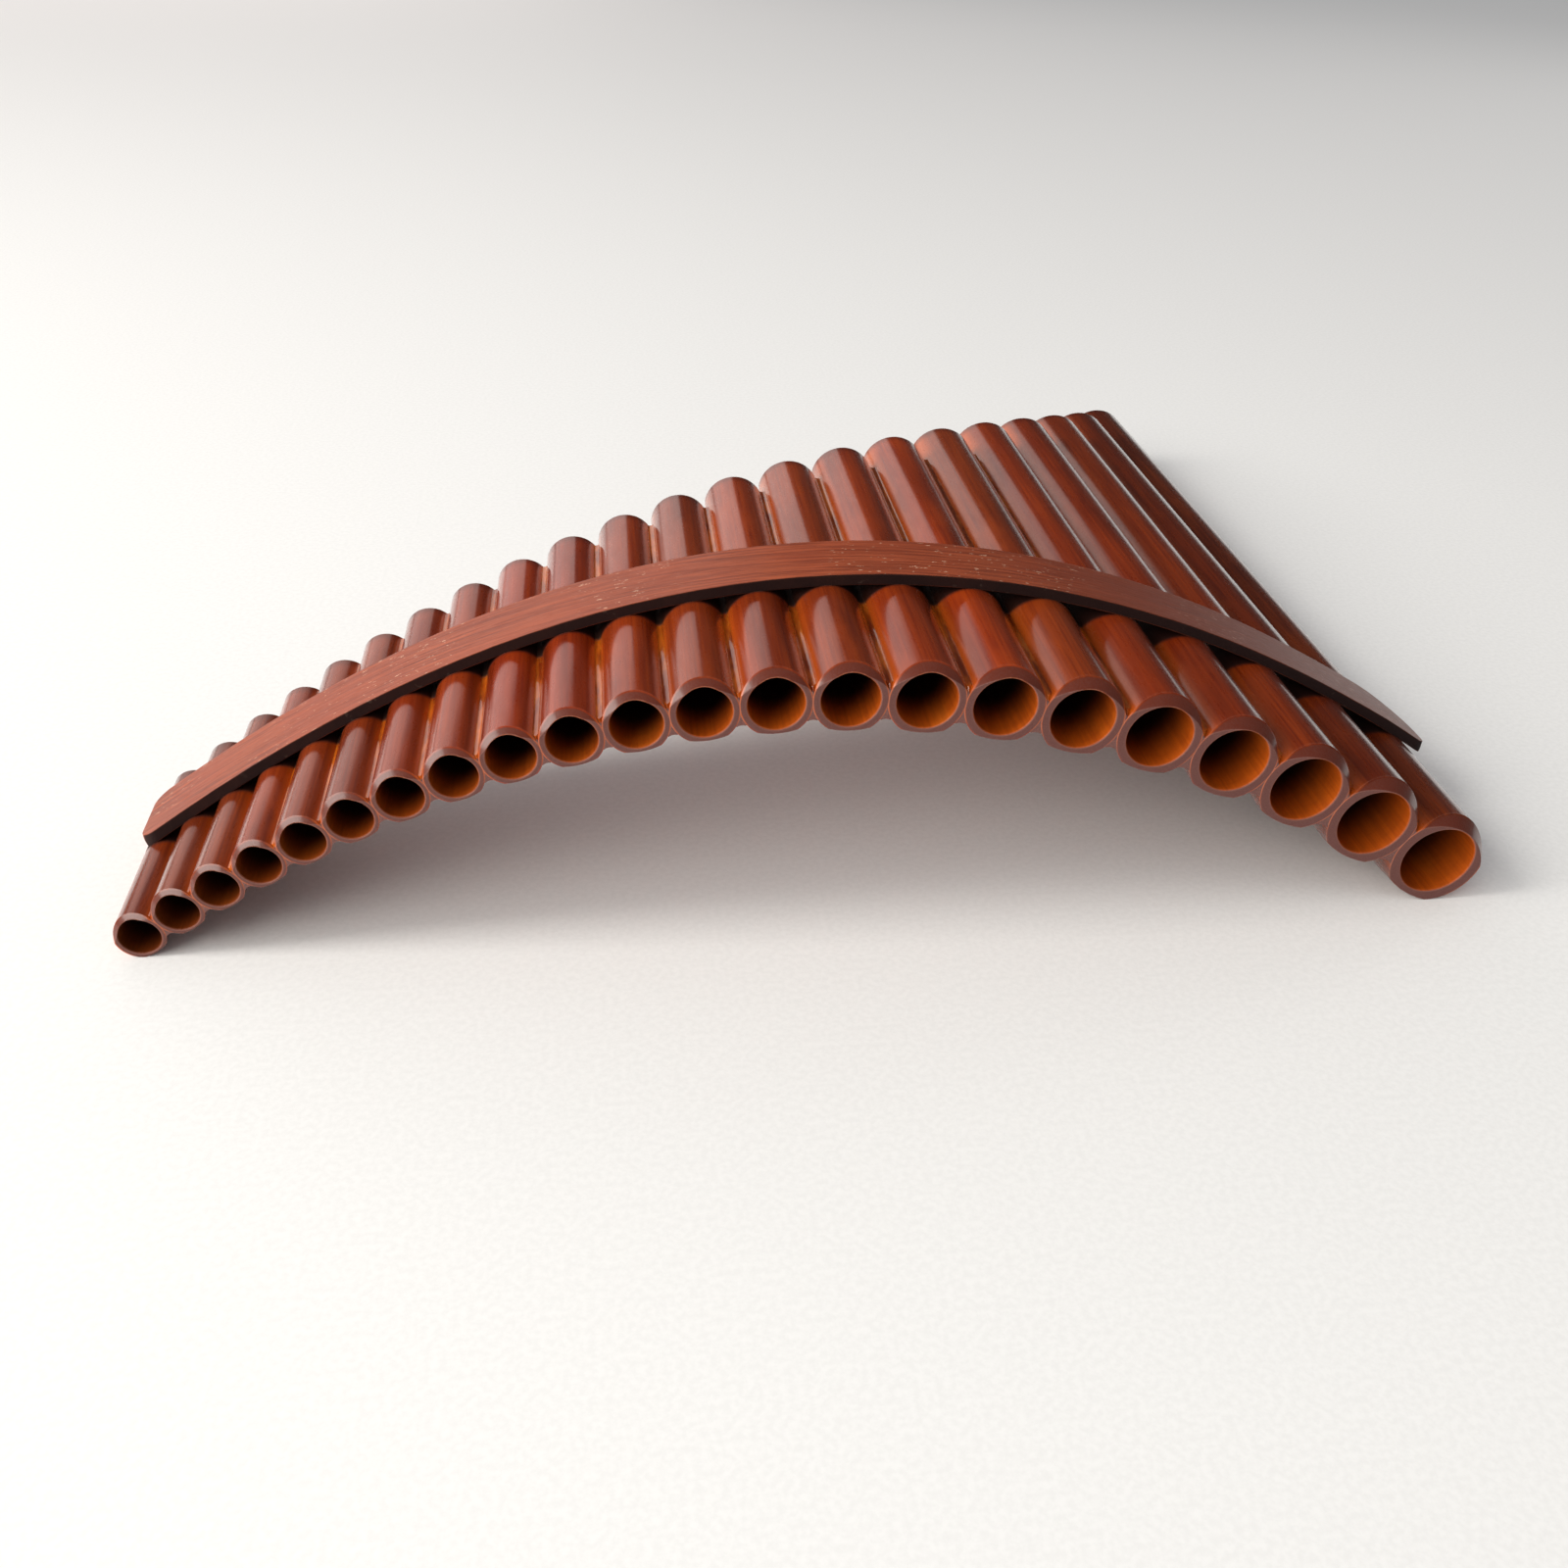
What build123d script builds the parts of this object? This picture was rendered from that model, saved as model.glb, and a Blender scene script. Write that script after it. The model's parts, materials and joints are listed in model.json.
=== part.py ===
from build123d import *
from math import asin, atan2, cos, pi, radians, sin, sqrt
import os

# Curved pan flute: a row of parallel bamboo pipes, treble at -X and bass at +X.
# Millimetres. The mouths lie in one plane and face -Y, the tails run towards +Y.
# The row is arched upwards, and stands on its two end pipes at Z = 0.

# ---------------------------------------------------------------- the row
PIPE_COUNT = 22
OD_TREBLE = 10.5  # outside diameter of the shortest pipe
OD_BASS = 22.0  # outside diameter of the longest pipe
WALL_TREBLE = 1.02  # bamboo wall of the shortest pipe
WALL_BASS = 2.6  # bamboo wall of the longest pipe
GRADE_EXPONENT = 1.9  # sizes grow slowly at first, faster towards the bass
END_HEADING = 33.7  # degrees, slope of the arch at either end of the row
SIDE_FLAT = 0.13  # sanded off each pipe where it meets its neighbour

# ---------------------------------------------------------------- lengths
TREBLE_LENGTH = 54.0  # overall length of the shortest pipe
STEADY_RISE = 54.0  # even part of the growth in length along the row
BASS_RISE = 155.0  # extra growth that comes in towards the bass
BASS_EXPONENT = 4.4
TAIL_COVER = 1.5  # pipe left beyond the stopper, at the least

# ---------------------------------------------------------------- tuning
LOWEST_NOTE = 392.0  # hertz, G4 on the longest pipe
MAJOR_SCALE = (0, 2, 4, 5, 7, 9, 11)  # semitones of the scale degrees
SOUND_SPEED = 345000.0  # mm/s in warm breath
END_CORRECTION = 0.3  # of the bore diameter, at the open mouth

# ---------------------------------------------------------------- stoppers
STOPPER_LENGTH = 8.0
STOPPER_SEAT = 0.3  # tail is opened out by this on the radius, up to a shoulder
STOPPER_CLEARANCE = 0.0  # on the radius, a cork plug fills its seat
STOPPER_CHAMFER = 0.6

# ---------------------------------------------------------------- mouths
BEVEL_RUN_TREBLE = 1.7  # how far the bevel runs back along the crest
BEVEL_RUN_BASS = 3.3
BEVEL_LAND_TREBLE = -0.8  # rim between bore and bevel at the crest, below 0 it cuts the bore
BEVEL_LAND_BASS = 0.2
NOTCH_TREBLE = 1.55  # height of the notch between two bevels above the centres
NOTCH_BASS = 3.2
LIP_CUT_TREBLE = 0.45  # taken off the lip side at the mouth
LIP_CUT_BASS = 1.0
LIP_RUN_TREBLE = 6.0  # the lip relief fades out over this length
LIP_RUN_BASS = 12.0
BORE_EASE = 0.2  # inside edge of the mouth
TAIL_EASE = 0.35  # outside edge of the tail

# ---------------------------------------------------------------- glue seams
SEAM_TOP_TREBLE = 2.5  # height of the upper seam above the centres
SEAM_TOP_BASS = 5.2
SEAM_UNDER_TREBLE = 3.5  # depth of the lower seam below the centres
SEAM_UNDER_BASS = 7.2
SEAM_BACK = 1.0  # seams stop this far before the shorter pipe's tail
MENISCUS = 0.2  # radius of the hollow seam face, of the smaller pipe's radius
SEAM_GROUPS = ("treble", "middle", "bass")  # thirds of the row

# ---------------------------------------------------------------- brace band
BAND_WIDTH = 17.0
BAND_THICKNESS = 2.5
BAND_SEAT = 0.15  # how deep the band is let into the crests
BAND_NEAR_TREBLE = 25.5  # near edge, back from the mouths
BAND_NEAR_MIDDLE = 35.0
BAND_NEAR_BASS = 36.5
BAND_OVER_TREBLE = 1.2  # past the crest of the first pipe
BAND_OVER_BASS = 8.5  # past the crest of the last pipe
BAND_CORNER = 3.5
BAND_TIP = 12.0  # large corner of the bass tip, on the tail side

FREE = 5.0  # how far cutting bodies reach past what they cut


def grade(treble, bass, i):
    """A size of pipe i, between its treble and bass values."""
    t = i / (PIPE_COUNT - 1)
    return treble + (bass - treble) * t**GRADE_EXPONENT


def outer(i):
    return grade(OD_TREBLE, OD_BASS, i) / 2


def bore(i):
    return outer(i) - grade(WALL_TREBLE, WALL_BASS, i)


def half_pitch(i):
    return outer(i) - SIDE_FLAT


def note(i):
    """Frequency of pipe i, counted up the scale from the longest pipe."""
    step = PIPE_COUNT - 1 - i
    semitones = 12 * (step // len(MAJOR_SCALE)) + MAJOR_SCALE[step % len(MAJOR_SCALE)]
    return LOWEST_NOTE * 2 ** (semitones / 12)


def speaking_depth(i):
    """Mouth to stopper: a quarter wave less the correction at the mouth."""
    return SOUND_SPEED / 4 / note(i) - END_CORRECTION * 2 * bore(i)


def length(i):
    """Overall length: a flowing outline that always covers the stopper."""
    t = i / (PIPE_COUNT - 1)
    outline = TREBLE_LENGTH + STEADY_RISE * t + BASS_RISE * t**BASS_EXPONENT
    return max(outline, speaking_depth(i) + STOPPER_LENGTH + TAIL_COVER)


def heading(s):
    """Slope of the arch at share s of its length, in radians."""
    return radians(END_HEADING) * (0.5 * (1 - 2 * s) + 0.5 * cos(pi * s))


def row():
    """Centres and headings of the pipes, and of the joints between them."""
    steps = [half_pitch(i) + half_pitch(i + 1) for i in range(PIPE_COUNT - 1)]
    run = [0.0]
    for step in steps:
        run.append(run[-1] + step)
    angles = [heading(v / run[-1]) for v in run]
    joints = [heading((a + b) / 2 / run[-1]) for a, b in zip(run, run[1:])]
    x = [0.0]
    z = [0.0]
    for step, angle in zip(steps, joints):
        x.append(x[-1] + step * cos(angle))
        z.append(z[-1] + step * sin(angle))
    # Lean the row until both end pipes stand on the same level.
    chord = sqrt((x[-1] - x[0]) ** 2 + (z[-1] - z[0]) ** 2)
    lean = asin((outer(PIPE_COUNT - 1) - outer(0)) / chord) - atan2(z[-1], x[-1])
    centres = []
    for a, b in zip(x, z):
        across = a * cos(lean) - b * sin(lean)
        up = a * sin(lean) + b * cos(lean)
        centres.append((across, up))
    left = min(c[0] - outer(i) for i, c in enumerate(centres))
    last = PIPE_COUNT - 1
    tip = angles[last] + lean
    crest = centres[last][0] - sin(tip) * (outer(last) + BAND_THICKNESS - BAND_SEAT)
    right = max(centres[last][0] + outer(last), crest + BAND_OVER_BASS * cos(tip))
    middle = (left + right) / 2
    foot = centres[0][1] - outer(0)
    centres = [(a - middle, b - foot) for a, b in centres]
    return centres, [a + lean for a in angles], [a + lean for a in joints]


CENTRES, ANGLES, JOINTS = row()
MOUTH_Y = -max(length(i) for i in range(PIPE_COUNT)) / 2


def frame(x, z, angle):
    """Local axes at a mouth: x along the row, y to the lip side, z to the tail."""
    along = (cos(angle), 0, sin(angle))
    return Plane(origin=(x, MOUTH_Y, z), x_dir=along, z_dir=(0, 1, 0))


def pipe_frame(i):
    return frame(CENTRES[i][0], CENTRES[i][1], ANGLES[i])


def joint_frame(i):
    """Axes on the flat between pipes i and i + 1."""
    x = CENTRES[i][0] + half_pitch(i) * cos(JOINTS[i])
    z = CENTRES[i][1] + half_pitch(i) * sin(JOINTS[i])
    return frame(x, z, JOINTS[i])


def rod(radius, start, end):
    return Pos(0, 0, start) * Cylinder(radius, end - start, align=(Align.CENTER, Align.CENTER, Align.MIN))


def taper(radius_start, radius_end, start, end):
    cone = Cone(radius_start, radius_end, end - start, align=(Align.CENTER, Align.CENTER, Align.MIN))
    return Pos(0, 0, start) * cone


def blank(i):
    """Outside of pipe i with the flats that meet its neighbours."""
    body = pipe_frame(i) * rod(outer(i), 0, length(i))
    tall = 4 * outer(i)
    deep = length(i) + 2 * FREE
    if i > 0:
        side = Box(tall, tall, deep, align=(Align.MAX, Align.CENTER, Align.CENTER))
        body -= joint_frame(i - 1) * Pos(0, 0, length(i) / 2) * side
    if i < PIPE_COUNT - 1:
        side = Box(tall, tall, deep, align=(Align.MIN, Align.CENTER, Align.CENTER))
        body -= joint_frame(i) * Pos(0, 0, length(i) / 2) * side
    return body


def outside_cone(radius, slope, run):
    """All that lies outside a cone that opens from the mouth plane."""
    body = rod(radius + slope * run + 4 * FREE, -1, run)
    return body - taper(radius - slope, radius + slope * (run + 1), -1, run + 1)


def crest_bevel(i):
    """Cutter of the crescent bevel, from notch to notch over the crest."""
    top = bore(i) + grade(BEVEL_LAND_TREBLE, BEVEL_LAND_BASS, i)
    notch = grade(NOTCH_TREBLE, NOTCH_BASS, i)
    run = grade(BEVEL_RUN_TREBLE, BEVEL_RUN_BASS, i)
    drop = (half_pitch(i) ** 2 + notch**2 - top**2) / (2 * (top - notch))
    slope = (outer(i) - top) / run
    return pipe_frame(i) * Pos(0, drop, 0) * outside_cone(top + drop, slope, run)


def lip_relief(i):
    """Cutter of the shallow scallop on the side where the lip rests."""
    bottom = outer(i) - grade(LIP_CUT_TREBLE, LIP_CUT_BASS, i)
    cusp = grade(SEAM_UNDER_TREBLE, SEAM_UNDER_BASS, i)
    run = grade(LIP_RUN_TREBLE, LIP_RUN_BASS, i)
    rise = bottom - cusp
    radius = (half_pitch(i) ** 2 + rise**2) / (2 * rise)
    slope = (outer(i) - bottom) / run
    return pipe_frame(i) * Pos(0, bottom - radius, 0) * outside_cone(radius, slope, run)


def dressing(i):
    return [crest_bevel(i), lip_relief(i)]


def pipe(i, band):
    """One finished pipe: bore, stopper seat, dressed mouth and band seat."""
    end = length(i)
    depth = speaking_depth(i)
    body = blank(i)
    for cutter in dressing(i):
        body -= cutter
    hollow = rod(bore(i), -1, depth + 1)
    hollow += rod(bore(i) + STOPPER_SEAT, depth, end + 1)
    hollow += taper(bore(i) + 2 * BORE_EASE, bore(i), -BORE_EASE, BORE_EASE)
    body -= pipe_frame(i) * hollow
    ring = rod(outer(i) + FREE, end - TAIL_EASE, end + 1)
    ring -= taper(outer(i), outer(i) - TAIL_EASE - 1, end - TAIL_EASE, end + 1)
    body -= pipe_frame(i) * ring
    return body - band


def stopper(i):
    """Cork plug in the tail, pushed up against the shoulder of its seat."""
    radius = bore(i) + STOPPER_SEAT - STOPPER_CLEARANCE
    start = speaking_depth(i)
    end = start + STOPPER_LENGTH
    body = rod(radius, start, end - STOPPER_CHAMFER)
    body += taper(radius, radius - STOPPER_CHAMFER, end - STOPPER_CHAMFER, end)
    return pipe_frame(i) * body


def seam(i, height, upper):
    """Glue in the groove between pipes i and i + 1, on one side of the row."""
    end = min(length(i), length(i + 1)) - SEAM_BACK
    small = min(outer(i), outer(i + 1))
    gap = outer(i) - SIDE_FLAT - sqrt(outer(i) ** 2 - height**2)
    gap = max(gap, outer(i + 1) - SIDE_FLAT - sqrt(outer(i + 1) ** 2 - height**2))
    hollow = max(MENISCUS * small, 1.2 * gap)
    side = Align.MAX if upper else Align.MIN
    width = max(0.6 * small, 2.2 * gap)
    body = Box(width, height, end, align=(Align.CENTER, side, Align.MIN))
    centre = height + sqrt(hollow**2 - gap**2)
    body -= Pos(0, -centre if upper else centre, 0) * rod(hollow, -1, end + 1)
    body = joint_frame(i) * body
    for k in (i, i + 1):
        body -= blank(k)
        for cutter in dressing(k):
            body -= cutter
    return body


def seams(group, treble, bass, upper):
    """The seams of one third of the row on one side, as separate solids."""
    joints = PIPE_COUNT - 1
    thirds = len(SEAM_GROUPS)
    solids = []
    for i in range(joints * group // thirds, joints * (group + 1) // thirds):
        height = grade(treble, bass, i + 0.5)
        found = seam(i, height, upper).solids()
        solids.append(max(found, key=lambda s: s.volume))
    return Compound(children=solids)


def crest(i, lift):
    """Point over the crest of pipe i, raised from the band's under face."""
    reach = outer(i) - BAND_SEAT + lift
    x = CENTRES[i][0] - sin(ANGLES[i]) * reach
    z = CENTRES[i][1] + cos(ANGLES[i]) * reach
    return (x, z)


def band_line(lift):
    """Under or upper line of the band, from end to end over the crests."""
    last = PIPE_COUNT - 1
    points = [crest(i, lift) for i in range(PIPE_COUNT)]
    first_way = (cos(ANGLES[0]), sin(ANGLES[0]))
    last_way = (cos(ANGLES[last]), sin(ANGLES[last]))
    x, z = points[0]
    start = (x - BAND_OVER_TREBLE * first_way[0], z - BAND_OVER_TREBLE * first_way[1])
    x, z = points[-1]
    end = (x + BAND_OVER_BASS * last_way[0], z + BAND_OVER_BASS * last_way[1])
    curve = Spline(*points, tangents=(first_way, last_way))
    return [Line(start, points[0]), curve, Line(points[-1], end)]


def band_outline(x0, x1):
    """Plan of the band: two gentle arcs, small corners and a rounded tip."""
    middle = (x0 + x1) / 2
    ys = (BAND_NEAR_TREBLE, BAND_NEAR_MIDDLE, BAND_NEAR_BASS)
    near = [(x, MOUTH_Y + y) for x, y in zip((x0, middle, x1), ys)]
    far = [(x, y + BAND_WIDTH) for x, y in near]
    edges = [ThreePointArc(*near), Line(near[2], far[2])]
    edges += [ThreePointArc(*reversed(far)), Line(far[0], near[0])]
    plan = make_face(edges)
    tip = plan.vertices().sort_by_distance(far[2])[0]
    plan = fillet(tip, min(BAND_TIP, 0.95 * (BAND_WIDTH - BAND_CORNER)))
    for corner in (near[0], far[0], near[2]):
        vertex = plan.vertices().sort_by_distance(corner)[0]
        plan = fillet(vertex, BAND_CORNER)
    return plan


def brace_band():
    """Thin strip glued across the crests of all the pipes."""
    under = band_line(0)
    upper = band_line(BAND_THICKNESS)
    ends = [Line(under[0] @ 0, upper[0] @ 0), Line(under[2] @ 1, upper[2] @ 1)]
    section = make_face(under + upper + ends)
    reach = BAND_NEAR_BASS + BAND_NEAR_MIDDLE + BAND_WIDTH + 8 * FREE
    bent = Plane.XZ.offset(-MOUTH_Y) * extrude(section, -reach)
    x0 = bent.bounding_box().min.X
    x1 = bent.bounding_box().max.X
    tall = bent.bounding_box().max.Z + FREE
    prism = extrude(band_outline(x0, x1), tall)
    return bent & prism


def main():
    os.makedirs("parts", exist_ok=True)
    band = brace_band()
    export_step(band, "parts/brace_band.step")
    for i in range(PIPE_COUNT):
        export_step(pipe(i, band), f"parts/pipe_{i + 1:02d}.step")
        export_step(stopper(i), f"parts/stopper_{i + 1:02d}.step")
    for k, third in enumerate(SEAM_GROUPS):
        top = seams(k, SEAM_TOP_TREBLE, SEAM_TOP_BASS, True)
        export_step(top, f"parts/glue_upper_{third}.step")
        under = seams(k, SEAM_UNDER_TREBLE, SEAM_UNDER_BASS, False)
        export_step(under, f"parts/glue_lower_{third}.step")


if __name__ == "__main__":
    main()
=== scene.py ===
import json
import math
import random

import bpy
from mathutils import Matrix, Vector


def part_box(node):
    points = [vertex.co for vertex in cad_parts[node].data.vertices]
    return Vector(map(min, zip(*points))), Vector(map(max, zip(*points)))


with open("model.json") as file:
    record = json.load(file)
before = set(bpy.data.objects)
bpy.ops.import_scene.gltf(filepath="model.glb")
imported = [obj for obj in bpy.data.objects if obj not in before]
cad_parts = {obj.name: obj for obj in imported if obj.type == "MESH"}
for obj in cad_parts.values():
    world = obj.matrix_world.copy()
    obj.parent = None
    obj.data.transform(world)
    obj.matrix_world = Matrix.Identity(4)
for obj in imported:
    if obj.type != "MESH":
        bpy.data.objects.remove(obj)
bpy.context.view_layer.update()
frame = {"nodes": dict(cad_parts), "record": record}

# Looks of a curved pan flute: red-brown lacquered bamboo pipes, amber glue, one bent wooden band.
MM = 0.001
PIPES = 22
FIRST_SEED = 500
BORE_SHADE_TREBLE = 0.70  # painted shade: the narrow bores are painted darker, each one less than the last
BORE_SHADE_STEP = 0.060
PAINTED_SHADE_ENDS = 0.80  # painted shade: the lacquer is painted darker towards both ends of the row
SHADE_MIDDLE = 0.95

# ---------------------------------------------------------------- camera
CAMERA_PLACE = (-0.0462666, -0.3664838, 0.1962428)
CAMERA_YAW = 0.1396  # towards +X
CAMERA_PITCH = 0.5898  # downwards
CAMERA_ROLL = -0.0449
LENS_MM = 32.75
SENSOR_MM = 36.0

# ---------------------------------------------------------------- studio
# name: place, what it points at, width, height, radiance, colour
LIGHTS = {
    "window_back": ((-0.80, 1.90, 0.70), (0, 0, 0.03), 1.70, 1.20, 0.95, (1.0, 0.90, 0.86)),
    "window_front": ((-1.30, -1.05, 0.90), (0, -0.1, 0.03), 1.20, 0.90, 5.5, (1.0, 0.97, 0.92)),
    "window_side": ((-1.60, -0.25, 1.05), (0, -0.1, 0.03), 0.55, 1.20, 13.5, (1.0, 0.97, 0.93)),
    "strip_right": ((1.60, 0.90, 0.75), (0.1, 0, 0.03), 0.18, 0.90, 4.0, (1.0, 0.98, 0.96)),
}
SKY_LEFT = (0.60, 0.61, 0.63)
SKY_RIGHT = (0.30, 0.305, 0.32)
ROOM_SEEN_IN_GLOSS = (0.035, 0.030, 0.028)  # the dim room that the lacquer mirrors
FLOOR_SPAN = 12.0


def srgb(red, green, blue):
    """Linear colour of a screen colour given as 0 to 255."""
    def linear(v):
        v = v / 255
        return v / 12.92 if v <= 0.04045 else ((v + 0.055) / 1.055) ** 2.4
    return (linear(red), linear(green), linear(blue), 1.0)


def blend_colours(a, b, share):
    return tuple(p + (q - p) * share for p, q in zip(a, b))


class Shader:
    """A node material under construction. Lengths inside it are millimetres."""

    def __init__(self, name):
        self.material = bpy.data.materials.new(name)
        self.material.use_nodes = True
        self.tree = self.material.node_tree
        self.tree.nodes.clear()
        self.output = self.add("ShaderNodeOutputMaterial")
        self.coords = self.add("ShaderNodeTexCoord")
        self.surface = self.add("ShaderNodeBsdfPrincipled")
        self.tree.links.new(self.surface.outputs["BSDF"], self.output.inputs["Surface"])

    def add(self, kind, **settings):
        node = self.tree.nodes.new(kind)
        for key, value in settings.items():
            setattr(node, key, value)
        return node

    def put(self, socket, value):
        if isinstance(value, bpy.types.NodeSocket):
            self.tree.links.new(value, socket)
        else:
            socket.default_value = value

    def math(self, operation, *values):
        node = self.add("ShaderNodeMath", operation=operation)
        for socket, value in zip(node.inputs, values):
            self.put(socket, value)
        return node.outputs[0]

    def ease(self, value, low, high, start=0.0, end=1.0):
        """Smooth step of value from low to high; low may be the greater."""
        node = self.add("ShaderNodeMapRange", interpolation_type="SMOOTHSTEP")
        for socket, v in zip(node.inputs, (value, low, high, start, end)):
            self.put(socket, v)
        return node.outputs[0]

    def mix(self, share, a, b):
        """Colour a, going over to b as share rises to 1."""
        node = self.add("ShaderNodeMix", data_type="RGBA")
        self.put(node.inputs[0], share)
        self.put(node.inputs[6], a)
        self.put(node.inputs[7], b)
        return node.outputs[2]

    def blend(self, share, a, b):
        """The same as mix, for numbers."""
        node = self.add("ShaderNodeMix", data_type="FLOAT")
        self.put(node.inputs[0], share)
        self.put(node.inputs[2], a)
        self.put(node.inputs[3], b)
        return node.outputs[0]

    def place(self, vector, offset=(0, 0, 0), turn=(0, 0, 0), scale=(1, 1, 1)):
        node = self.add("ShaderNodeMapping", vector_type="POINT")
        self.put(node.inputs["Vector"], vector)
        node.inputs["Location"].default_value = offset
        node.inputs["Rotation"].default_value = turn
        node.inputs["Scale"].default_value = scale
        return node.outputs[0]

    def local(self, origin=(0, 0, 0), heading=0.0):
        """Millimetres from origin: along the row, towards the tail, up from the row."""
        turn = Matrix.Rotation(heading, 3, "Y")
        offset = -(turn @ Vector(origin)) / MM
        scale = (1 / MM, 1 / MM, 1 / MM)
        return self.place(self.coords.outputs["Object"], offset, (0, heading, 0), scale)

    def split(self, vector):
        node = self.add("ShaderNodeSeparateXYZ")
        self.put(node.inputs[0], vector)
        return node.outputs

    def noise(self, vector, scale, detail=3.0, roughness=0.5, distortion=0.0):
        node = self.add("ShaderNodeTexNoise")
        self.put(node.inputs["Vector"], vector)
        node.inputs["Scale"].default_value = scale
        node.inputs["Detail"].default_value = detail
        node.inputs["Roughness"].default_value = roughness
        node.inputs["Distortion"].default_value = distortion
        return node.outputs["Fac"]

    def cells(self, vector, scale):
        node = self.add("ShaderNodeTexVoronoi")
        self.put(node.inputs["Vector"], vector)
        node.inputs["Scale"].default_value = scale
        return node.outputs["Distance"]

    def soft_normal(self, radius_mm):
        node = self.add("ShaderNodeBevel", samples=6)
        node.inputs["Radius"].default_value = radius_mm * MM
        return node.outputs[0]

    def edge(self, soft, start=0.985, end=0.90):
        """1 along sharp edges, where the rounded normal leaves the flat one."""
        flat = self.add("ShaderNodeNewGeometry").outputs["Normal"]
        dot = self.add("ShaderNodeVectorMath", operation="DOT_PRODUCT")
        self.put(dot.inputs[0], soft)
        self.put(dot.inputs[1], flat)
        return self.ease(dot.outputs["Value"], start, end)

    def bump(self, height, distance_mm, strength, normal=None):
        node = self.add("ShaderNodeBump")
        self.put(node.inputs["Strength"], strength)
        node.inputs["Distance"].default_value = distance_mm * MM
        self.put(node.inputs["Height"], height)
        if normal is not None:
            self.put(node.inputs["Normal"], normal)
        return node.outputs[0]

    def finish(self, colour, roughness, normal, **constants):
        """Feeds the surface; constants such as coat or sheen stay on its own sockets."""
        self.put(self.surface.inputs["Base Color"], colour)
        self.put(self.surface.inputs["Roughness"], roughness)
        self.put(self.surface.inputs["Normal"], normal)
        for key, value in constants.items():
            self.put(self.surface.inputs[key.replace("_", " ").title().replace("Ior", "IOR")], value)
        return self.material


# ---------------------------------------------------------------- where the pipes are
class Pipe:
    """One pipe's place and sizes, from its mouth mount and its box. x, z and mouth in metres."""

    def __init__(self, index, mounts):
        self.name = f"pipe_{index + 1:02d}"
        mount = mounts[index]
        self.x, middle, self.z = mount["pos_m"]
        self.mouth = middle - mount["dims"]["length_mm"] * MM / 2
        self.depth = mount["dims"]["length_mm"]
        self.bore = mount["dims"]["r_mm"]
        low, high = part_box(self.name)
        self.outer = (high.z - low.z) / 2 / MM
        self.length = (high.y - low.y) / MM
        before, after = mounts[max(index - 1, 0)], mounts[min(index + 1, PIPES - 1)]
        rise = after["pos_m"][2] - before["pos_m"][2]
        run = after["pos_m"][0] - before["pos_m"][0]
        self.heading = math.atan2(rise, run)
        self.painted_bore_shade = max(0.0, BORE_SHADE_TREBLE - BORE_SHADE_STEP * index)
        self.painted_shade = PAINTED_SHADE_ENDS * abs(2 * index / (PIPES - 1) - SHADE_MIDDLE) ** 3


BAND_INSET = 12  # the edge is read this far in from its ends, where it is still plain
BAND_SAMPLES = 16  # vertices that are looked at for each reading


class Band:
    """Where the brace band runs: parabolas through its near and far edge, in millimetres."""

    def __init__(self, mouth):
        vertices = frame["nodes"]["brace_band"].data.vertices
        self.points = [(v.co.x / MM, (v.co.y - mouth) / MM) for v in vertices]
        low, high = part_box("brace_band")
        xs = (low.x / MM + BAND_INSET, (low.x + high.x) / 2 / MM, high.x / MM - 2 * BAND_INSET)
        self.near = self.parabola(xs, [self.edge(x, min) for x in xs])
        self.far = self.parabola(xs, [self.edge(x, max) for x in xs])

    def edge(self, x, pick):
        closest = sorted(self.points, key=lambda p: abs(p[0] - x))[:BAND_SAMPLES]
        return pick(p[1] for p in closest)

    @staticmethod
    def parabola(xs, ys):
        (x0, x1, x2), (y0, y1, y2) = xs, ys
        first, second = (y1 - y0) / (x1 - x0), (y2 - y1) / (x2 - x1)
        c = (second - first) / (x2 - x0)
        b = first - c * (x0 + x1)
        return y0 - b * x0 - c * x0 * x0, b, c

    def cover(self, s, depth):
        """1 where a point of the row lies under the band, in shader s."""
        x = s.math("MULTIPLY", s.split(s.coords.outputs["Object"])[0], 1 / MM)
        near, far = (self.line(s, x, terms) for terms in (self.near, self.far))
        inside = s.ease(s.math("SUBTRACT", depth, near), -1.2, 0.6)
        return s.math("MULTIPLY", inside, s.ease(s.math("SUBTRACT", far, depth), -0.6, 0.4))

    @staticmethod
    def line(s, x, terms):
        a, b, c = terms
        return s.math("MULTIPLY_ADD", x, s.math("MULTIPLY_ADD", x, c, b), a)


def all_pipes():
    mounts = sorted(frame["record"]["mounts"], key=lambda m: m["name"])
    return [Pipe(i, mounts) for i in range(PIPES)]


# ---------------------------------------------------------------- bamboo
LACQUER_RED = srgb(146, 40, 10)
LACQUER_BROWN = srgb(116, 50, 20)
LACQUER_DARK = srgb(62, 16, 8)
# orange for the lighter fibre tone, and painted bounce light on the flanks beside the seams
ORANGE_TONE_AND_BOUNCE = srgb(196, 88, 22)
WEB = srgb(104, 64, 58)
WEB_LIGHT = srgb(132, 84, 72)
BEVEL = srgb(100, 42, 26)
WORN_AND_HIGHLIGHT = srgb(186, 134, 118)
BORE = srgb(186, 84, 12)
BORE_DARK = srgb(150, 64, 10)
BORE_DEEP_SHADE = srgb(26, 11, 5)
BORE_LIGHT = srgb(214, 120, 32)
UNDER_BAND_SHADE = srgb(22, 8, 6)  # painted shade under the band, where the band's shadow falls
TAIL = srgb(92, 48, 34)


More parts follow.
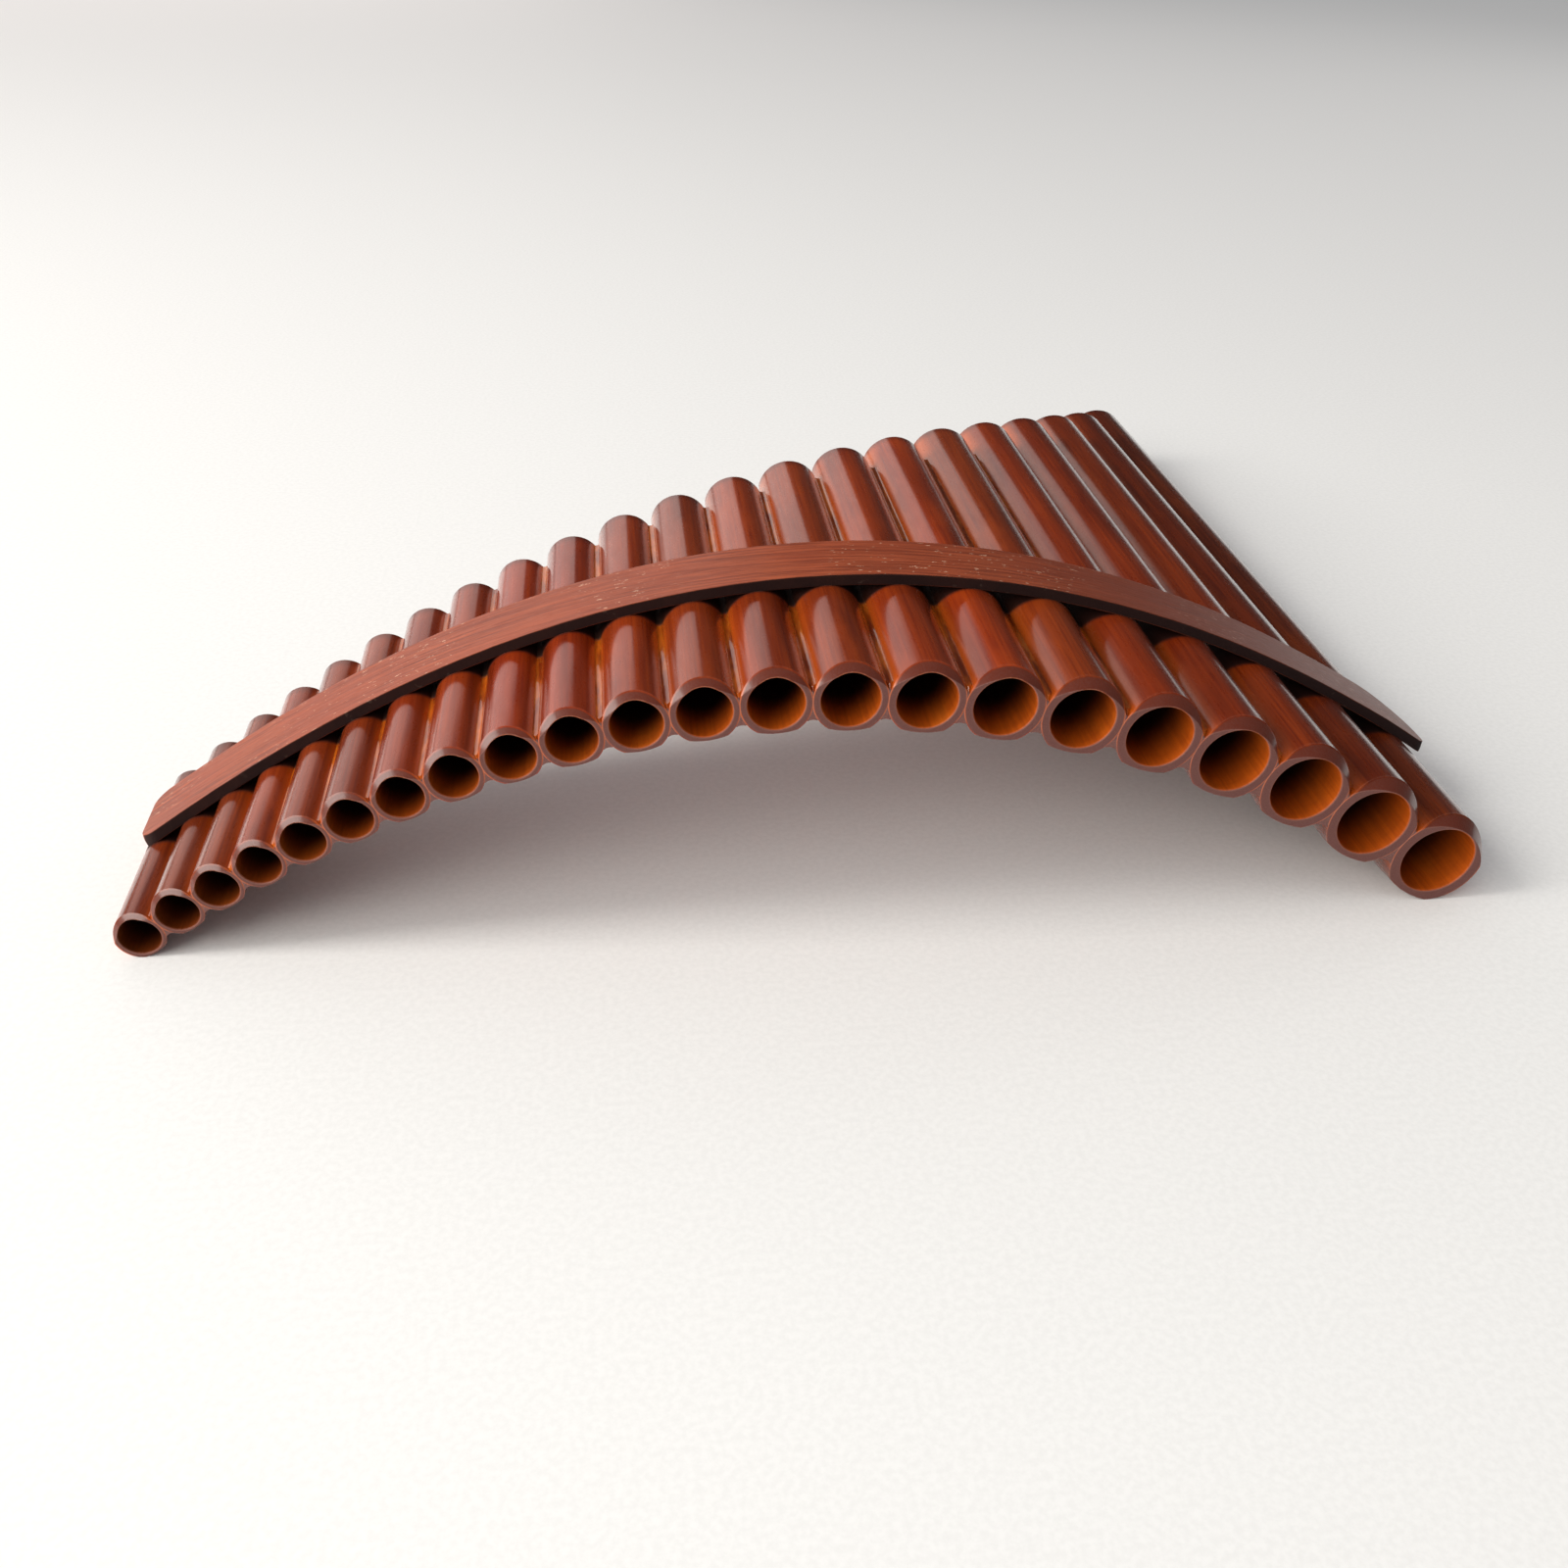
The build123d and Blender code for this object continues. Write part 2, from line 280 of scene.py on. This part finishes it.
def bamboo(pipe, band, rng):
    """Stained, lacquered bamboo outside, sanded fibre at the cut ends, bare stained bore."""
    s = Shader("bamboo_" + pipe.name[-2:])
    here = s.local((pipe.x, pipe.mouth, pipe.z), pipe.heading)
    along, depth, up = s.split(here)
    radius = s.math("SQRT", s.math("ADD", s.math("MULTIPLY", along, along), s.math("MULTIPLY", up, up)))
    shift = tuple(rng.uniform(-90, 90) for _ in range(3))

    # fibres run along the pipe: noise squeezed across and drawn out lengthwise
    fibre = s.noise(s.place(here, shift, scale=(1, 0.022, 1)), 1.5, 4, 0.6)
    fine = s.noise(s.place(here, shift, scale=(1, 0.03, 1)), 5.0, 3, 0.6)
    broad = s.noise(s.place(here, shift, scale=(1, 0.10, 1)), 0.16, 2, 0.5)
    blotch = s.noise(s.place(here, shift, scale=(1, 0.35, 1)), 0.10, 3, 0.6)

    tone = blend_colours(LACQUER_RED, LACQUER_BROWN, rng.uniform(0.0, 0.75))
    # painted shade towards the ends of the row
    tone = blend_colours(tone, LACQUER_DARK, pipe.painted_shade)
    light = blend_colours(tone, ORANGE_TONE_AND_BOUNCE, rng.uniform(0.18, 0.34))
    dark = blend_colours(tone, LACQUER_DARK, rng.uniform(0.30, 0.50))
    coat = s.mix(s.ease(fibre, 0.12, 0.88), dark, light)
    coat = s.mix(s.ease(broad, 0.35, 0.75, 0, 0.50), coat, LACQUER_DARK)
    coat = s.mix(s.ease(fine, 0.55, 0.80, 0, 0.10), coat, LACQUER_DARK)
    coat = s.mix(s.ease(blotch, 0.50, 0.72, 0, 0.45), coat, light)
    # painted bounce light: the flanks beside the seams are painted orange
    side = s.math("DIVIDE", s.math("ABSOLUTE", along), pipe.outer)
    painted_bounce = s.math("MULTIPLY", s.ease(side, 0.70, 0.98), s.ease(blotch, 0.25, 0.60, 0.35, 0.85))
    coat = s.mix(painted_bounce, coat, ORANGE_TONE_AND_BOUNCE)
    coat = s.mix(s.ease(depth, pipe.length - 4.0, pipe.length - 0.5, 0, 0.55), coat, LACQUER_DARK)

    # the cut ends: speckled bundle ends, lighter towards the bore
    bundles = s.cells(s.place(here, shift, scale=(1, 0.2, 1)), 2.6)
    grit = s.noise(here, 3.0, 3, 0.7)
    web = s.mix(s.ease(bundles, 0.10, 0.34), blend_colours(WEB, TAIL, 0.45), WEB)
    web = s.mix(s.ease(grit, 0.40, 0.75, 0, 0.45), web, WEB_LIGHT)
    web = s.mix(s.ease(radius, pipe.bore + 0.55, pipe.bore + 0.10, 0, 0.65), web, WEB_LIGHT)
    above = s.ease(up, 0.0, 0.35 * pipe.outer)
    bevelled = s.math("MULTIPLY", s.ease(depth, 0.04, 0.20), above)
    web = s.mix(bevelled, web, s.mix(s.ease(grit, 0.35, 0.7, 0, 0.4), BEVEL, WEB))
    web = s.mix(s.ease(depth, pipe.length / 2, pipe.length / 2 + 1), web, TAIL)

    # the bore: bare stained wood with rings across it and lengthwise fibre, with painted shade that
    # deepens with depth
    rings = s.noise(s.place(here, shift, scale=(0.25, 1, 0.25)), 0.9, 2, 0.5)
    inside = s.mix(s.ease(fibre, 0.10, 0.90), BORE_DARK, BORE)
    inside = s.mix(s.ease(rings, 0.48, 0.72, 0, 0.35), inside, BORE_DARK)
    inside = s.mix(s.ease(blotch, 0.5, 0.75, 0, 0.25), inside, BORE_LIGHT)
    # painted shade: the bore is painted darker the deeper it goes
    painted_bore_shade = s.ease(depth, 0.10 * pipe.bore, 2.3 * pipe.bore, pipe.painted_bore_shade, 0.97)
    inside = s.mix(painted_bore_shade, inside, BORE_DEEP_SHADE)

    # where each finish lies: bore and stopper seat, outer skin, skin with painted shade under the band
    in_bore = s.ease(radius, pipe.bore + 0.16, pipe.bore + 0.04)
    behind = s.ease(depth, pipe.depth - 1, pipe.depth + 1)
    seat = s.math("MULTIPLY", behind, s.ease(radius, pipe.bore + 0.55, pipe.bore + 0.40))
    in_bore = s.math("MAXIMUM", in_bore, seat)
    is_skin = s.ease(radius, pipe.outer - 0.34, pipe.outer - 0.14)
    covered = s.math("MULTIPLY", band.cover(s, depth), is_skin)
    covered = s.math("MULTIPLY", covered, s.ease(up, 0.05 * pipe.outer, 0.30 * pipe.outer))
    # the open flanks of the two end pipes get no painted shade
    if pipe.name == "pipe_01":
        covered = s.math("MULTIPLY", covered, s.ease(along, -0.45 * pipe.outer, -0.25 * pipe.outer))
    if pipe.name == f"pipe_{PIPES:02d}":
        covered = s.math("MULTIPLY", covered, s.ease(along, 0.60 * pipe.outer, 0.35 * pipe.outer))

    soft = s.soft_normal(0.030 * pipe.outer + 0.12)
    # edges near the mouth painted pale: partly real wear, partly a painted highlight
    worn = s.math("MULTIPLY", s.edge(soft), s.ease(grit, 0.30, 0.62, 0.10, 0.45))
    # painted shade: the skin under the band is painted near black
    coat = s.mix(s.math("MULTIPLY", covered, 0.92), coat, UNDER_BAND_SHADE)
    colour = s.mix(is_skin, web, coat)
    colour = s.mix(in_bore, colour, inside)
    near_mouth = s.ease(depth, pipe.length * 0.5, pipe.length * 0.4)
    colour = s.mix(s.math("MULTIPLY", worn, near_mouth), colour, WORN_AND_HIGHLIGHT)

    scuff = s.noise(s.place(here, shift, scale=(1, 0.25, 1)), 0.8, 4, 0.65)
    skin_rough = s.ease(scuff, 0.35, 0.75, 0.26, 0.38)
    cut_rough = s.blend(bevelled, 0.62, 0.40)
    rough = s.blend(is_skin, cut_rough, skin_rough)
    rough = s.blend(in_bore, rough, 0.52)
    rough = s.blend(covered, rough, 0.75)

    relief = s.math("ADD", s.math("MULTIPLY", fibre, 0.6), s.math("MULTIPLY", fine, 0.4))
    relief = s.blend(is_skin, s.math("ADD", grit, bundles), relief)
    normal = s.bump(relief, 0.06, s.blend(is_skin, 0.45, 0.03), soft)
    clear = s.blend(in_bore, s.blend(is_skin, s.blend(bevelled, 0.10, 0.90), 1.0), 0.0)
    clear = s.blend(covered, clear, 0.0)
    s.put(s.surface.inputs["Coat Weight"], clear)
    return s.finish(colour, rough, normal, coat_roughness=0.15, coat_ior=1.45, ior=1.3)


# ---------------------------------------------------------------- glue, cork, band
AMBER = srgb(196, 96, 22)
AMBER_DARK = srgb(120, 44, 14)
UNDER_GLUE = srgb(92, 40, 26)
CORK_DARK = srgb(150, 104, 66)
CORK_LIGHT = srgb(196, 150, 102)
CORK_PORE = srgb(84, 52, 32)
CORK_DUST = srgb(120, 80, 50)


def amber_glue(mouth, band):
    s = Shader("glue_amber")
    here = s.local((0, mouth, 0))
    depth = s.split(here)[1]
    cloud = s.noise(s.place(here, scale=(1, 0.15, 1)), 0.5, 3, 0.6)
    grit = s.noise(here, 3.0, 3, 0.7)
    colour = s.mix(s.ease(cloud, 0.32, 0.66), AMBER_DARK, AMBER)
    facing = s.split(s.coords.outputs["Normal"])[2]
    colour = s.mix(s.ease(facing, -0.1, -0.5), colour, UNDER_GLUE)
    cut = s.ease(depth, 0.35, 0.10)
    colour = s.mix(cut, colour, s.mix(s.ease(grit, 0.4, 0.7), WEB, WEB_LIGHT))
    runs = s.noise(s.place(here, scale=(1, 0.3, 1)), 0.35, 2, 0.5)
    normal = s.bump(runs, 0.5, 0.35)
    rough = s.blend(cut, s.ease(cloud, 0.3, 0.7, 0.12, 0.24), 0.60)
    covered = band.cover(s, depth)
    # painted shade: the glue under the band is painted near black
    colour = s.mix(s.math("MULTIPLY", covered, 0.92), colour, UNDER_BAND_SHADE)
    rough = s.blend(covered, rough, 0.75)
    s.put(s.surface.inputs["Coat Weight"], s.blend(s.math("MAXIMUM", cut, covered), 0.8, 0.0))
    return s.finish(colour, rough, normal, coat_roughness=0.06, ior=1.5,
                    subsurface_weight=0.12, subsurface_scale=0.002)


def cork():
    s = Shader("cork_natural")
    here = s.local()
    grain = s.cells(here, 0.9)
    pores = s.cells(s.place(here, (7, 3, 5)), 0.35)
    dust = s.noise(here, 2.2, 4, 0.7)
    colour = s.mix(s.ease(grain, 0.15, 0.55), CORK_DARK, CORK_LIGHT)
    colour = s.mix(s.ease(pores, 0.16, 0.08, 0, 0.9), colour, CORK_PORE)
    colour = s.mix(s.ease(dust, 0.5, 0.75, 0, 0.4), colour, CORK_DUST)
    height = s.math("ADD", s.math("MULTIPLY", grain, 0.5), s.ease(pores, 0.06, 0.20))
    return s.finish(colour, 0.82, s.bump(height, 0.25, 0.6), ior=1.4)


# band colours; the near black one is painted shade for the band's side faces
BAND_LIGHT = srgb(176, 86, 50)
BAND_MAIN = srgb(148, 64, 36)
BAND_DARK = srgb(104, 44, 26)
BAND_SIDE_SHADE = srgb(20, 5, 5)
FLECK = srgb(232, 190, 160)


def band_wood():
    s = Shader("band_wood_satin")
    here = s.local()
    grain = s.noise(s.place(here, scale=(0.035, 1.0, 0.035)), 1.3, 5, 0.62, 0.4)
    pores = s.noise(s.place(here, scale=(0.16, 2.0, 0.16)), 2.4, 2, 0.6)
    cloud = s.noise(s.place(here, scale=(1, 1, 1)), 0.045, 3, 0.6)
    specks = s.noise(s.place(here, (11, 5, 2), scale=(0.40, 1.5, 0.40)), 1.15, 2, 0.7)
    sparse = s.noise(s.place(here, (3, 9, 4)), 0.03, 1, 0.5)
    colour = s.mix(s.ease(grain, 0.34, 0.66), BAND_DARK, BAND_LIGHT)
    colour = s.mix(s.ease(cloud, 0.3, 0.7, 0.20, 0.60), colour, BAND_MAIN)
    colour = s.mix(s.ease(pores, 0.60, 0.76, 0, 0.55), colour, BAND_DARK)
    painted_shade_bass_end = s.ease(s.split(here)[0], -10, 120, 0, 0.55)
    colour = s.mix(painted_shade_bass_end, colour, BAND_DARK)  # painted shade: the band is painted darker at its bass end
    fleck = s.math("MULTIPLY", s.ease(specks, 0.66, 0.70, 0, 0.8), s.ease(sparse, 0.38, 0.52))
    colour = s.mix(fleck, colour, FLECK)
    # painted shade: the band's side faces are painted near black
    facing = s.split(s.coords.outputs["Normal"])[1]
    side = s.ease(s.math("ABSOLUTE", facing), 0.45, 0.75)
    colour = s.mix(s.math("MULTIPLY", side, 0.95), colour, BAND_SIDE_SHADE)
    soft = s.soft_normal(0.40)
    worn = s.math("MULTIPLY", s.edge(soft, 0.99, 0.90), s.ease(cloud, 0.35, 0.65, 0.10, 0.55))
    colour = s.mix(worn, colour, BAND_LIGHT)
    height = s.math("ADD", s.math("MULTIPLY", grain, 0.7), s.math("MULTIPLY", pores, 0.3))
    rough = s.blend(side, s.ease(pores, 0.35, 0.70, 0.36, 0.52), 0.85)
    s.put(s.surface.inputs["Coat Weight"], s.blend(side, 0.22, 0.0))
    return s.finish(colour, rough, s.bump(height, 0.14, 0.5, soft), coat_roughness=0.30, ior=1.4)


# ---------------------------------------------------------------- the object
def dress():
    pipes = all_pipes()
    nodes = frame["nodes"]
    cork_finish = cork()
    band = Band(pipes[0].mouth)
    glue_finish = amber_glue(pipes[0].mouth, band)
    band_finish = band_wood()
    for number, pipe in enumerate(pipes):
        give(nodes[pipe.name], bamboo(pipe, band, random.Random(FIRST_SEED + number)))
    for name, node in nodes.items():
        if name.startswith("stopper_"):
            give(node, cork_finish)
        elif name.startswith("glue_"):
            give(node, glue_finish)
        elif name == "brace_band":
            give(node, band_finish)


def give(obj, material):
    obj.data.materials.clear()
    obj.data.materials.append(material)


# ---------------------------------------------------------------- the studio
FLOOR_DARK = srgb(234, 233, 230)
FLOOR_LIGHT = srgb(240, 239, 236)


def floor_finish():
    s = Shader("floor_pale")
    grain = s.noise(s.local(), 0.8, 3, 0.6)
    colour = s.mix(s.ease(grain, 0.3, 0.7), FLOOR_DARK, FLOOR_LIGHT)
    return s.finish(colour, 0.75, s.bump(grain, 0.05, 0.2), ior=1.4)


def make_floor():
    half = FLOOR_SPAN / 2
    mesh = bpy.data.meshes.new("floor")
    corners = [(-half, -half, 0), (half, -half, 0), (half, half, 0), (-half, half, 0)]
    mesh.from_pydata(corners, [], [(0, 1, 2, 3)])
    floor = bpy.data.objects.new("floor", mesh)
    bpy.context.scene.collection.objects.link(floor)
    mesh.materials.append(floor_finish())


def make_light(name, place, target, width, height, radiance, colour):
    lamp = bpy.data.lights.new(name, "AREA")
    lamp.shape = "RECTANGLE"
    lamp.size = width
    lamp.size_y = height
    lamp.color = colour
    lamp.energy = radiance * math.pi * width * height
    obj = bpy.data.objects.new(name, lamp)
    bpy.context.scene.collection.objects.link(obj)
    obj.location = place
    obj.rotation_mode = "QUATERNION"
    aim = Vector(target) - Vector(place)
    obj.rotation_quaternion = aim.to_track_quat("-Z", "Y")
    obj.visible_camera = False


def make_sky():
    """Bright on the window side, darker on the room side."""
    world = bpy.data.worlds.new("studio")
    bpy.context.scene.world = world
    world.use_nodes = True
    tree = world.node_tree
    tree.nodes.clear()
    coords = tree.nodes.new("ShaderNodeTexCoord")
    split = tree.nodes.new("ShaderNodeSeparateXYZ")
    ramp = tree.nodes.new("ShaderNodeMapRange")
    mix = tree.nodes.new("ShaderNodeMix")
    light = tree.nodes.new("ShaderNodeBackground")
    output = tree.nodes.new("ShaderNodeOutputWorld")
    mix.data_type = "RGBA"
    mix.inputs[6].default_value = (*SKY_LEFT, 1)
    mix.inputs[7].default_value = (*SKY_RIGHT, 1)
    ramp.inputs["From Min"].default_value = -0.6
    ramp.inputs["From Max"].default_value = 0.6
    tree.links.new(coords.outputs["Generated"], split.inputs[0])
    tree.links.new(split.outputs["X"], ramp.inputs["Value"])
    tree.links.new(ramp.outputs["Result"], mix.inputs[0])
    tree.links.new(mix.outputs[2], light.inputs["Color"])
    room = tree.nodes.new("ShaderNodeBackground")
    room.inputs["Color"].default_value = (*ROOM_SEEN_IN_GLOSS, 1)
    path = tree.nodes.new("ShaderNodeLightPath")
    choice = tree.nodes.new("ShaderNodeMixShader")
    tree.links.new(path.outputs["Is Glossy Ray"], choice.inputs[0])
    tree.links.new(light.outputs[0], choice.inputs[1])
    tree.links.new(room.outputs[0], choice.inputs[2])
    tree.links.new(choice.outputs[0], output.inputs["Surface"])


def make_camera():
    yaw, pitch, roll = CAMERA_YAW, CAMERA_PITCH, CAMERA_ROLL
    ahead = Vector((math.sin(yaw) * math.cos(pitch), math.cos(yaw) * math.cos(pitch), -math.sin(pitch)))
    level = Vector((math.cos(yaw), -math.sin(yaw), 0))
    down = ahead.cross(level)
    right = level * math.cos(roll) + down * math.sin(roll)
    lower = down * math.cos(roll) - level * math.sin(roll)
    lens = bpy.data.cameras.new("camera")
    lens.lens = LENS_MM
    lens.sensor_width = SENSOR_MM
    lens.clip_start = 0.01
    lens.clip_end = 50
    camera = bpy.data.objects.new("camera", lens)
    bpy.context.scene.collection.objects.link(camera)
    turn = Matrix((right, -lower, -ahead)).transposed()
    camera.matrix_world = Matrix.Translation(CAMERA_PLACE) @ turn.to_4x4()
    bpy.context.scene.camera = camera


make_camera()
for name, details in LIGHTS.items():
    make_light(name, *details)
make_sky()
make_floor()
dress()
bpy.context.scene.view_settings.view_transform = "Standard"
